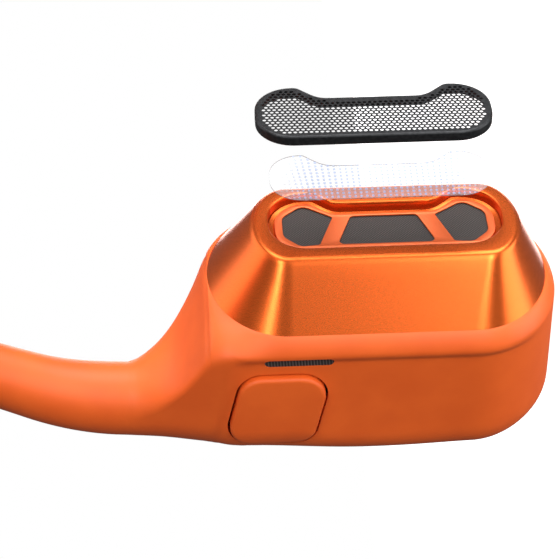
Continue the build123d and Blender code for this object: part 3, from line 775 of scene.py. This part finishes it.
film_top = MEMBRANE_SEAT + FILM_THICK
right_film = flat_plate("right_clear_film", FILM, [notched(MEMBRANE_INSET)], MEMBRANE_SEAT, film_top)
settle(right_film, POD)
# The film's edge faces take the painted edge shade; its faces across the grille stay clear.
right_film.data.materials.append(FILM_EDGE_SHADE)
for face in right_film.data.polygons:
    if abs(face.normal.dot(W_AXIS)) < 0.5:
        face.material_index = 1
left_film = lifted(right_film, "left_clear_film", "membrane_lift")


# ---- silicone skin of a pod, its neck and its ear hook ----

# (u, value) keys down the hook end of the skin, where the pod runs into its neck
CHEEK_KEYS = [
    (-8.7, 9.85), (-11, 9.4), (-12.8, 8.4), (-14, 7.3), (-15, 6.1), (-16, 4.9), (-17, 3.8), (-18, 2.9),
    (-19, 2.05), (-20.3, 1.15), (-22, 0.1), (-23, -0.2),
]
FRONT_KEYS = [(-12.8, -9.85), (-14, -9.75), (-15, -9.5), (-16, -9.2), (-18, -8.5), (-20.3, -7.6), (-23, -6.8)]
TOP_KEYS = [
    (-15.65, -5.4), (-16.1, -6.2), (-16.5, -7.2), (-17, -8.3), (-18, -10.2), (-19, -11.5), (-20.3, -12.4),
    (-22, -13.05), (-23, -13.2),
]
TOP_MIDDLE_KEYS = [
    (-15.65, 0), (-17, -1.3), (-18, -2.1), (-19, -2.75), (-20.3, -3.15), (-22, -3.4), (-23, -3.5)
]
RIDGE_KEYS = [(-8.7, -7.0), (-12.8, -7.1), (-14, -7.3), (-15, -7.8), (-16, -8.7), (-17, -10.3), (-18, -11.8),
              (-19, -13.1), (-20.3, -14.6), (-22, -16.0), (-23, -16.5)]
CORNER_KEYS = [(-12.8, 4.0), (-16, 4.2), (-18, 4.0), (-20.3, 3.6), (-23, 3.3)]
BOTTOM_KEYS = [(9.0, -19.5), (1.0, -19.8), (-4.0, -19.75), (-12.0, -19.2), (-18.0, -19.35), (-23.0, -19.8)]
CAP_EDGE_HALF, CAP_EDGE_END = 8.84, 6.95
SKIN_HALF = 60               # points down each side of a section


def across_keys(u):
    """Half the width of a section and the middle of it."""
    cheek, front_side = eased(CHEEK_KEYS, u), eased(FRONT_KEYS, u)
    return (cheek - front_side) / 2, (cheek + front_side) / 2



def half_section(side, cap_edge, top, wide, ridge, corner, bottom_u, curve):
    """One side of a section, from its top edge round to the middle of its underside, as (u, v, w)."""
    edge_u, edge_v = cap_edge
    wide_u, wide_v, middle = wide
    points = []
    for step in range(25):
        angle = pi / 2 * step / 24
        out, down = sin(angle) ** (2 / curve), 1 - cos(angle) ** (2 / curve)
        points.append((
            edge_u + (wide_u - edge_u) * out, edge_v + (wide_v - edge_v) * out, top + (ridge - top) * down,
        ))
    bottom = eased(BOTTOM_KEYS, bottom_u)
    low = bottom + corner
    for step in range(1, 13):
        points.append((wide_u, wide_v, ridge + (low - ridge) * step / 12))
    inner_v = wide_v - side * min(corner, abs(wide_v - middle))
    for step in range(1, 17):
        angle = pi / 2 * step / 16
        points.append((
            bottom_u + (wide_u - bottom_u) * cos(angle), inner_v + (wide_v - inner_v) * cos(angle),
            low - corner * sin(angle),
        ))
    points.append((bottom_u, middle, bottom))
    return points


def side_fractions():
    """Where points sit down a pod's side: close together over the shoulder and the panel's edge."""
    steps = [0.16] * 22 + [0.36] * 14 + [0.5] * 14 + [0.75] * (SKIN_HALF - 50)
    total, found = 0.0, [0.0]
    for step in steps:
        total += step
        found.append(total)
    return [value / total for value in found]


FRACTIONS = side_fractions()


def along_line(points, fractions):
    lengths = [0.0]
    for first, second in zip(points, points[1:]):
        lengths.append(lengths[-1] + (Vector(second) - Vector(first)).length)
    found, span = [], 0
    for fraction in fractions:
        target = min(fraction, 1.0) * lengths[-1]
        while span < len(points) - 2 and lengths[span + 1] < target:
            span += 1
        share = (target - lengths[span]) / max(lengths[span + 1] - lengths[span], 1e-9)
        found.append(Vector(points[span]).lerp(Vector(points[span + 1]), min(max(share, 0.0), 1.0)))
    return found


def section(
    u_edge, u_wide, edge_half, wide_half, middle, top_middle, top, ridge, corner, bottom_u, curve, even
):
    """A whole ring, from the top edge on the cheek side round the underside to the top edge at the front."""
    fractions = [
        fraction * (1 - even) + number / SKIN_HALF * even for number, fraction in enumerate(FRACTIONS)
    ]
    halves = []
    for side in (1, -1):
        edge_v = top_middle + side * edge_half
        points = half_section(
            side, (u_edge, edge_v), top, (u_wide, middle + side * wide_half, middle), ridge, corner,
            bottom_u, curve,
        )
        halves.append(along_line(points, fractions))
    return halves[0] + halves[1][-2::-1]


def panel_sink(point):
    """How far the front panel is let into the side below the shoulder."""
    u, v, w = point
    if v > -4:
        return 0.0
    edge = PANEL_LEFT - PANEL_LEAN * (PANEL_TOP - w)
    return PANEL_DEPTH * (
        soft_step(-PANEL_TOP, -PANEL_TOP + 0.75, -w) * soft_step(edge, edge + 1.5, u)
        * (1 - soft_step(*PANEL_END, u)) * (1 - soft_step(*PANEL_FOOT, -w))
    )


def pod_rings():
    rings = []
    free_edge, free_wide = CAP_LINE_FREE, SLEEVE_LENGTH / 2 + BASE_SHIFT - SLEEVE_END
    for step in range(26):
        angle = pi / 2 * (1 - step / 25)
        corner = SIDE_ROUND + (END_ROUND - SIDE_ROUND) * sin(angle)
        rings.append(section(
            free_edge + CAP_EDGE_END * sin(angle), free_wide + SLEEVE_END * sin(angle),
            CAP_EDGE_HALF * cos(angle), SLEEVE_WIDTH / 2 * cos(angle), 0, 0, -CAP_HEIGHT, RIDGE_KEYS[0][1],
            corner, free_wide + (SLEEVE_END - corner) * sin(angle), SHOULDER_CURVE, 0,
        ))
    for step in range(1, 40):
        share = step / 40
        u_edge = free_edge + (CAP_LINE_HOOK - free_edge) * share
        u_wide = free_wide + (CAP_LINE_HOOK - free_wide) * share
        rings.append(section(
            u_edge, u_wide, CAP_EDGE_HALF, SLEEVE_WIDTH / 2, 0, 0, -CAP_HEIGHT, RIDGE_KEYS[0][1],
            SIDE_ROUND, u_wide, SHOULDER_CURVE, 0,
        ))
    for step in range(31):
        angle = pi / 2 * step / 30
        u = CAP_LINE_HOOK - CAP_EDGE_END * sin(angle)
        curve = SHOULDER_CURVE + (2 - SHOULDER_CURVE) * soft_step(12.0, 15.8, -u)
        rings.append(section(
            u, u, CAP_EDGE_HALF * cos(angle), *across_keys(u), 0, -CAP_HEIGHT,
            eased(RIDGE_KEYS, u), eased(CORNER_KEYS, u), u, curve, soft_step(*NECK_BLEND, -u),
        ))
    for step in range(1, 31):
        u = CAP_LINE_HOOK - CAP_EDGE_END - step / 30 * (CAP_LINE_HOOK - CAP_EDGE_END - NECK_U)
        rings.append(section(
            u, u, 0, *across_keys(u), eased(TOP_MIDDLE_KEYS, u), eased(TOP_KEYS, u),
            eased(RIDGE_KEYS, u), eased(CORNER_KEYS, u), u, 2, soft_step(*NECK_BLEND, -u),
        ))
    return [[point + Vector((0, panel_sink(point), 0)) for point in ring] for ring in rings]


def hook_centres():
    """Centre line of the ear hook in the pod's u and w, with its heading, from the neck to the housing."""
    found = []
    u, w, turned = HOOK_START, SLEEVE_BOTTOM + NECK_RADIUS, 0.0
    for radius, end, count in ((RISE_RADIUS, RISE_TURN, 14), (EAR_RADIUS, HOUSING_TURN, 60)):
        if radius == EAR_RADIUS:
            for step in range(1, 12):
                reach = RISE_LENGTH * step / 12
                found.append((u - reach * cos(radians(turned)), w + reach * sin(radians(turned)), turned))
            u, w = u - RISE_LENGTH * cos(radians(turned)), w + RISE_LENGTH * sin(radians(turned))
        start_u, start_w, start = u, w, turned
        for step in range(1, count + 1):
            turned = start + (end - start) * step / count
            u = start_u - radius * (sin(radians(turned)) - sin(radians(start)))
            w = start_w + radius * (cos(radians(start)) - cos(radians(turned)))
            found.append((u, w, turned))
    return found


def hook_rings():
    rings = []
    reach = 0.0
    last = (HOOK_START, SLEEVE_BOTTOM + NECK_RADIUS)
    for u, w, turned in hook_centres():
        reach += sqrt((u - last[0]) ** 2 + (w - last[1]) ** 2)
        last = (u, w)
        if u > NECK_U - 0.4 and turned < 90:
            continue
        thin = soft_step(1.0, 14.0, reach)
        radius = NECK_THICK + (HOOK_RADIUS - NECK_THICK) * thin
        w += (NECK_THICK - NECK_RADIUS) * (1 - thin)
        rings.append([
            Vector((
                u + radius * cos(a) * sin(radians(turned)), NECK_V + radius * sin(a),
                w + radius * cos(a) * cos(radians(turned)),
            ))
            for a in (pi * number / SKIN_HALF for number in range(2 * SKIN_HALF + 1))
        ])
    return rings


skin_rings = pod_rings() + hook_rings()
bpy.ops.mesh.primitive_grid_add(x_subdivisions=2 * SKIN_HALF, y_subdivisions=len(skin_rings) - 1, size=1)
left_skin = named("left_silicone_skin", SILICONE)
for number, vertex in enumerate(left_skin.data.vertices):
    row, column = divmod(number, 2 * SKIN_HALF + 1)
    vertex.co = place_pod(*skin_rings[row][column])
outward(left_skin)


def side_place(u, w, sink=None):
    """A drawing on the pod's side: x along u, y along w, height along v."""
    def place(x, y, height):
        return place_pod(u + x, height + (sink(u + x, w + y) if sink else 0.0), w + y)
    return place


def capsule(length, height, steps=10):
    radius, half = height / 2, (length - height) / 2
    right = [(half + radius * sin(pi * i / steps), -radius * cos(pi * i / steps)) for i in range(steps + 1)]
    return right + [(-x, -y) for x, y in right]


def round_rectangle(length, height, radius, inset=0.0, steps=8):
    x, y = length / 2 - inset, height / 2 - inset
    return rounded([(-x, -y), (x, -y), (x, y), (-x, y)], [max(radius - inset, 0.05)] * 4, steps)


def shifted(outline, along):
    return [(x + along, y) for x, y in outline]


def edge_round(outline, top, radius, steps, way=1):
    """Rings over a rounded edge, from the side of a piece to its face; outline draws one ring at an inset."""
    angles = [pi / 2 * step / steps for step in range(steps + 1)]
    return [(outline(radius * (1 - cos(a))), top - way * radius * (1 - sin(a))) for a in angles]


def button_outline(inset):
    lean = BUTTON_SHEAR / BUTTON_HEIGHT
    y = BUTTON_HEIGHT / 2 - inset
    x, k = BUTTON_LENGTH / 2 - inset * sqrt(1 + lean ** 2), lean * y
    corners = [(-x - k, -y), (x - k, -y), (x + k, y), (-x + k, y)]
    return rounded(corners, [max(BUTTON_CORNER - inset, 0.05)] * 4, 12)


def surface_drop(u, w):
    """How far the pod's side falls away from its flat, towards the neck and the underside."""
    below = min(max(SIDE_FOOT - w, 0.0), SIDE_ROUND - 0.1)
    round_off = SIDE_ROUND - sqrt(SIDE_ROUND ** 2 - below ** 2)
    return round_off + SLEEVE_WIDTH / 2 + eased(FRONT_KEYS, u)


modify(left_skin, "SOLIDIFY", thickness=SKIN_WALL * MM, offset=-1, use_even_offset=False)
outward(left_skin)
front = -SLEEVE_WIDTH / 2
slot = capsule(SLOT_LENGTH, SLOT_HEIGHT)
carve(left_skin, slot, front - 1, front + 2.5, side_place(SLOT_U, SLOT_W))
pad_hole = round_rectangle(PAD_LENGTH, PAD_HEIGHT, PAD_CORNER, -PAD_GAP)
carve(left_skin, pad_hole, -front - 2.5, -front + 1, side_place(PAD_U, PAD_W))
right_skin = mirrored(left_skin, "right_silicone_skin")
slot_cover = capsule(SLOT_LENGTH + 2 * SLOT_BORDER, SLOT_HEIGHT + 2 * SLOT_BORDER)
left_slot = ringed(
    "left_slot_mesh", WOVEN, [(slot_cover, front + depth) for depth in SLOT_MESH],
    side_place(SLOT_U, SLOT_W), (True, True),
)
right_slot = mirrored(left_slot, "right_slot_mesh")
hole = button_outline(-BUTTON_GAP)
carve(left_skin, hole, front - 2, front + 2.8, side_place(BUTTON_U, BUTTON_W))
smooth(left_skin, 50)
smooth(right_skin, 50)

# ---- call button, skin pads ----

proud = front + PANEL_DEPTH - BUTTON_PROUD
rings = [(button_outline(0), proud + BUTTON_THICK)] + edge_round(button_outline, proud, BUTTON_ROUND, 6, -1)
rings += [(button_outline(inset), proud - 0.02 * (inset - BUTTON_ROUND)) for inset in (0.8, 1.3, 1.8, 2.1)]
button = ringed(
    "call_button_cap", SILICONE, rings, side_place(BUTTON_U, BUTTON_W, surface_drop), (True, True)
)
smooth(button, 50)



def pad_outline(inset):
    return round_rectangle(PAD_LENGTH, PAD_HEIGHT, PAD_CORNER, inset)


pad_top = -front + PAD_PROUD - PAD_CROWN
pad_rings = [(pad_outline(0), -front + PAD_PROUD - PAD_THICK)] + edge_round(pad_outline, pad_top, PAD_EDGE, 6)
for inset, crown in ((1.3, 0.08), (2.0, 0.15), (2.8, PAD_CROWN)):
    pad_rings.append((pad_outline(inset), pad_top + crown))
left_pad = ringed("left_cheek_pad", PAD_SILICONE, pad_rings, side_place(PAD_U, PAD_W), (True, True))
smooth(left_pad, 50)
right_pad = mirrored(left_pad, "right_cheek_pad")

# ---- control housings ----

hook_end = hook_centres()[-1]
housing_top = POD_ORIGIN + (U_AXIS * hook_end[0] + V_AXIS * NECK_V + W_AXIS * hook_end[1]) * MM
DOWN = Vector((0, cos(radians(HOUSING_SLOPE)), -sin(radians(HOUSING_SLOPE))))
ACROSS = Vector((1, 0, 0)).cross(DOWN)
housing_middle = housing_top + DOWN * HOUSING_LENGTH / 2 * MM


def place_housing(x, y, height):
    return housing_middle + (DOWN * x + ACROSS * y + Vector((1, 0, 0)) * height) * MM


def housing_outline(inset):
    return round_rectangle(HOUSING_LENGTH, HOUSING_HEIGHT, HOUSING_CORNER, inset, 10)


def housing_half(name, way):
    """Half a shell, from the middle of its crown round the parting edge to the inside of its crown."""
    high = HOUSING_THICK / 2
    rings = [(housing_outline(5.2), high), (housing_outline(4.2), high)]
    rings += edge_round(housing_outline, high, HOUSING_EDGE, 8)[::-1]
    rings += [(housing_outline(0), 0.35), (housing_outline(0.05), 0.18), (housing_outline(0.2), 0.07)]
    wall_outline = housing_outline(HOUSING_WALL)
    rings += [(wall_outline, 0.07), (wall_outline, high - HOUSING_WALL - 1.6)]
    rings += [(housing_outline(HOUSING_WALL + 1.6), high - HOUSING_WALL)]
    rings = [(outline, way * height) for outline, height in rings]
    return ringed(name, SILICONE, rings, place_housing, (True, True))


left_outer = housing_half("left_housing_outer_shell", 1)
left_inner = housing_half("left_housing_inner_shell", -1)
right_outer = mirrored(left_outer, "right_housing_outer_shell")
right_inner = mirrored(left_inner, "right_housing_inner_shell")


def place_right(x, y, height):
    return MIRROR @ place_housing(x, y, height)


def key_outline(inset):
    return round_rectangle(KEY_LENGTH, KEY_HEIGHT, KEY_CORNER, inset)


keys = {}
key_high = HOUSING_THICK / 2 + KEY_PROUD
for name, side in (("volume_up", -1), ("volume_down", 1)):
    along = side * KEY_SPACING / 2
    gap = shifted(key_outline(-KEY_GAP), along)
    carve(right_outer, gap, 1, key_high + 1, place_right)
    rings = [(key_outline(0), key_high - KEY_THICK)] + edge_round(key_outline, key_high, KEY_EDGE, 5)
    rings.append((key_outline(1.0), key_high))
    rings = [(shifted(outline, along), height) for outline, height in rings]
    keys[name] = smooth(ringed(name + "_key", SILICONE, rings, place_right, (True, True)), 50)
light_hole = shifted(capsule(2 * LIGHT_RADIUS + 0.02, 2 * LIGHT_RADIUS), LIGHT_ALONG)
carve(right_outer, light_hole, 1, key_high + 1, place_right)
dock = capsule(DOCK_LENGTH, DOCK_HEIGHT, 12)
dock_floor = -HOUSING_THICK / 2 + DOCK_DEPTH
carve(right_inner, dock, -HOUSING_THICK / 2 - 1, dock_floor, place_right)
for side in (-1, 1):
    well = shifted(capsule(2 * CONTACT_RADIUS + 0.02, 2 * CONTACT_RADIUS), side * CONTACT_SPACING / 2)
    carve(right_inner, well, dock_floor - 0.5, -2, place_right)
for shell in (left_outer, left_inner, right_outer, right_inner):
    smooth(shell, 40)

# ---- rear band ----

def heading(degree):
    return Vector((0, cos(radians(degree)), sin(radians(degree))))


def band_line():
    """Left half of the band from inside the housing to the middle of the back, then the right half."""
    start = housing_top + DOWN * HOUSING_LENGTH * MM
    points = [start - DOWN * depth * MM for depth in (2.4, 1.2, 0)]
    bend = start
    for step in range(1, 9):
        now = -HOUSING_SLOPE + (HOUSING_SLOPE - BAND_TILT) * step / 8
        lift = heading(90 - HOUSING_SLOPE) - heading(90 + now)
        bend = start + lift * BAND_BEND * MM
        points.append(bend)
    run = heading(-BAND_TILT)
    points += [bend + run * BAND_STRAIGHT * MM * step / 12 for step in range(1, 12)]
    centre = bend + run * BAND_STRAIGHT * MM - Vector((BAND_SIDE * MM, 0, 0))
    for step in range(0, 61):
        angle = pi / 2 * step / 60
        points.append(centre + (Vector((1, 0, 0)) * cos(angle) + run * sin(angle)) * BAND_SIDE * MM)
    return points + [Vector((-point.x, point.y, point.z)) for point in points[-2::-1]]


band_points = band_line()
band_radii = [BAND_RADIUS + extra for extra in BAND_FLARE]
band_radii += [BAND_RADIUS] * (len(band_points) - 2 * len(BAND_FLARE)) + band_radii[::-1]
band = smooth(tube("rear_band", SILICONE, band_points, band_radii), 50)
core = smooth(tube("rear_band_core", TITANIUM, band_points, CORE_RADIUS, 12), 50)

# ---- which body each piece rides on ----

right_cap = mirrored(left_cap, "right_cap_shell")
right_plate = mirrored(left_plate, "right_window_plate")
right_mesh = mirrored(left_mesh, "right_woven_mesh")
for piece, name in ((right_grille, "right_perforated_grille"), (right_film, "right_clear_film")):
    settle(piece, MIRROR)
    piece.name = piece.data.name = name
    edit(piece)
    bpy.ops.mesh.select_all(action="SELECT")
    bpy.ops.mesh.flip_normals()
    done(piece)

RIDES = [
    (left_skin, "left_arm", "silicone", ["left_pod_sleeve", "left_hook_sleeve"]),
    (right_skin, "right_arm", "silicone", ["right_pod_sleeve", "right_hook_sleeve"]),
    (left_cap, "left_arm", "cap_satin", ["left_speaker_cap"]),
    (right_cap, "right_arm", "cap_satin", ["right_speaker_cap"]),
    (left_plate, "left_arm", "cap_satin", ["left_baffle_plate"]),
    (right_plate, "right_arm", "cap_satin", ["right_baffle_plate"]),
    (left_mesh, "left_arm", "woven_mesh", ["left_acoustic_mesh"]),
    (right_mesh, "right_arm", "woven_mesh", ["right_acoustic_mesh"]),
    (left_grille, "left_grille", "grille_metal", ["left_grille"]),
    (right_grille, "right_arm", "grille_metal", ["right_grille"]),
    (left_film, "left_membrane", "membrane_film", ["left_membrane"]),
    (right_film, "right_arm", "membrane_film", ["right_membrane"]),
    (button, "call_button", "silicone", ["left_call_button"]),
    (left_pad, "left_pad", "skin_pad", ["left_skin_pad"]),
    (right_pad, "right_pad", "skin_pad", ["right_skin_pad"]),
    (left_outer, "left_arm", "silicone", ["left_housing_outer"]),
    (left_inner, "left_arm", "silicone", ["left_housing_inner"]),
    (right_outer, "right_arm", "silicone", ["right_housing_outer"]),
    (right_inner, "right_arm", "silicone", ["right_housing_inner"]),
    (keys["volume_up"], "volume_up", "silicone", ["volume_up"]),
    (keys["volume_down"], "volume_down", "silicone", ["volume_down"]),
]
for piece, body, slot_name, stood_for in RIDES:
    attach(piece, body)
    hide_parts(*stood_for)
for piece, body in ((left_slot, "left_arm"), (right_slot, "right_arm")):
    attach(piece, body)
back = band_points[len(band_points) // 2]
flex_start, flex_end = ((side * FLEX_HALF * MM, back.y, back.z) for side in (-1, 1))
for piece, slot_name, stood_for in (
    (band, "silicone", ["band_left", "band_right", "band_flex_zone"]),
    (core, "titanium", ["band_wire", "band_cable"]),
):
    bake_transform(piece)
    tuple(flex_start)
    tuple(flex_end)
    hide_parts(*stood_for)

# ---- floor, light and camera ----

bpy.ops.mesh.primitive_plane_add(size=FLOOR_SIZE, location=(0, 0, 0))
floor_material, floor_shader, _ = finish("pale_floor", linear(250, 250, 250), 0.8)
floor_shader.inputs["Emission Color"].default_value = (1, 1, 1, 1)
floor_shader.inputs["Emission Strength"].default_value = 1.0
floor = named("studio_floor", floor_material)
floor.visible_diffuse = floor.visible_glossy = floor.visible_shadow = False

LOOK = (POD.to_3x3() @ Vector((
    sin(radians(VIEW_TURN)), cos(radians(VIEW_TURN)) * cos(radians(VIEW_DIP)),
    -cos(radians(VIEW_TURN)) * sin(radians(VIEW_DIP)),
))).normalized()
RIGHT = LOOK.cross(W_AXIS).normalized()
UP = RIGHT.cross(LOOK)
eye = POD_ORIGIN - (LOOK + RIGHT * CAP_PIXEL[0] / FOCAL + UP * CAP_PIXEL[1] / FOCAL) * VIEW_DISTANCE * MM
bpy.ops.object.camera_add(location=eye)
camera = bpy.context.object
camera.name = "camera"
camera.rotation_mode = "QUATERNION"
camera.rotation_quaternion = Matrix((RIGHT, UP, -LOOK)).transposed().to_quaternion()
camera.data.sensor_width = 36
camera.data.lens = FOCAL / FRAME_PIXELS * 36
camera.data.clip_start, camera.data.clip_end = 0.005, 20
bpy.context.scene.camera = camera


def soft_box(name, azimuth, elevation, distance, width, height, watts, colour=(1, 1, 1)):
    """An area light round the pod: azimuth to picture right of the camera, elevation towards picture top."""
    a, e = radians(azimuth), radians(elevation)
    way = (RIGHT * sin(a) - LOOK * cos(a)) * cos(e) + UP * sin(e)
    target = POD_ORIGIN - W_AXIS * 8 * MM
    bpy.ops.object.light_add(type="AREA", location=target + way * distance)
    light = bpy.context.object
    light.name = name
    light.data.shape = "RECTANGLE"
    light.data.size, light.data.size_y = width, height
    light.data.energy = watts
    light.data.color = colour
    light.visible_camera = False
    side = UP.cross(way) if abs(UP.dot(way)) < 0.95 else RIGHT
    side.normalize()
    light.rotation_mode = "QUATERNION"
    light.rotation_quaternion = Matrix((side, way.cross(side), way)).transposed().to_quaternion()


for light in LIGHTS:
    soft_box(*light)

world = bpy.context.scene.world or bpy.data.worlds.new("studio")
bpy.context.scene.world = world
world.use_nodes = True
sky = world.node_tree
backdrop = sky.nodes["Background"]
backdrop.inputs["Color"].default_value = (1, 1, 1, 1)
backdrop.inputs["Strength"].default_value = 1.0
room = sky.nodes.new("ShaderNodeBackground")
room.inputs["Color"].default_value = (1, 1, 1, 1)
room.inputs["Strength"].default_value = ROOM_LIGHT
path = sky.nodes.new("ShaderNodeLightPath")
mix = sky.nodes.new("ShaderNodeMixShader")
sky.links.new(path.outputs["Is Camera Ray"], mix.inputs["Fac"])
sky.links.new(room.outputs["Background"], mix.inputs[1])
sky.links.new(backdrop.outputs["Background"], mix.inputs[2])
sky.links.new(mix.outputs["Shader"], sky.nodes["World Output"].inputs["Surface"])
shown = bpy.context.scene.view_settings
shown.view_transform = "Standard"
shown.look = "None"
shown.exposure = 0
shown.gamma = 1

deselect()
